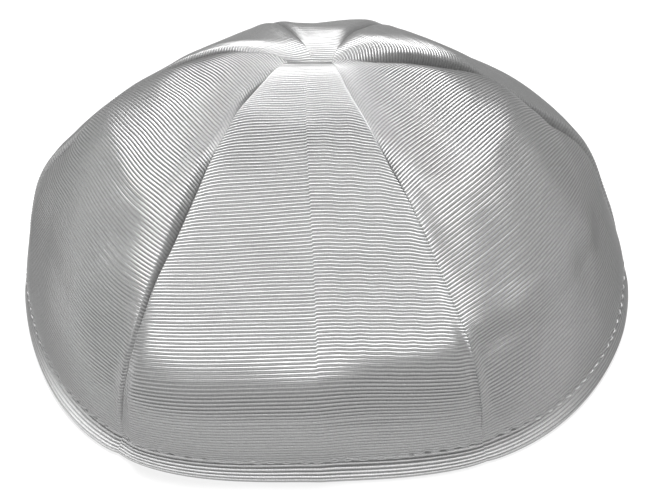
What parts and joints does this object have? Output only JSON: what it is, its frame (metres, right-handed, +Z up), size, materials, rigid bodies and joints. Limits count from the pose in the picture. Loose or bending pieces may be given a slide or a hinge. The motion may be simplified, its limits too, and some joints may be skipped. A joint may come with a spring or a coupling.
{
  "type": "kippah skullcap",
  "caption": "Soft domed skullcap sewn from ribbed satin panels that meet near the top, with a turned-up stitched hem. It rests on the crown of the head.",
  "frame": {"origin": "middle of the rim's outline, on the surface that the rim rests on", "axes": "+Z up through the crown, -Y towards the front panel, +X towards the panel at the viewer's right"},
  "size_m": [0.1488, 0.1448, 0.0644],
  "materials": {
    "satin": "shiny silver-grey satin with fine crosswise ribs"
  },
  "bodies": {
    "root": {"panel_front": "satin", "panel_front_left": "satin", "panel_back_left": "satin", "panel_back": "satin", "panel_back_right": "satin", "panel_front_right": "satin"}
  },
  "joints": []
}
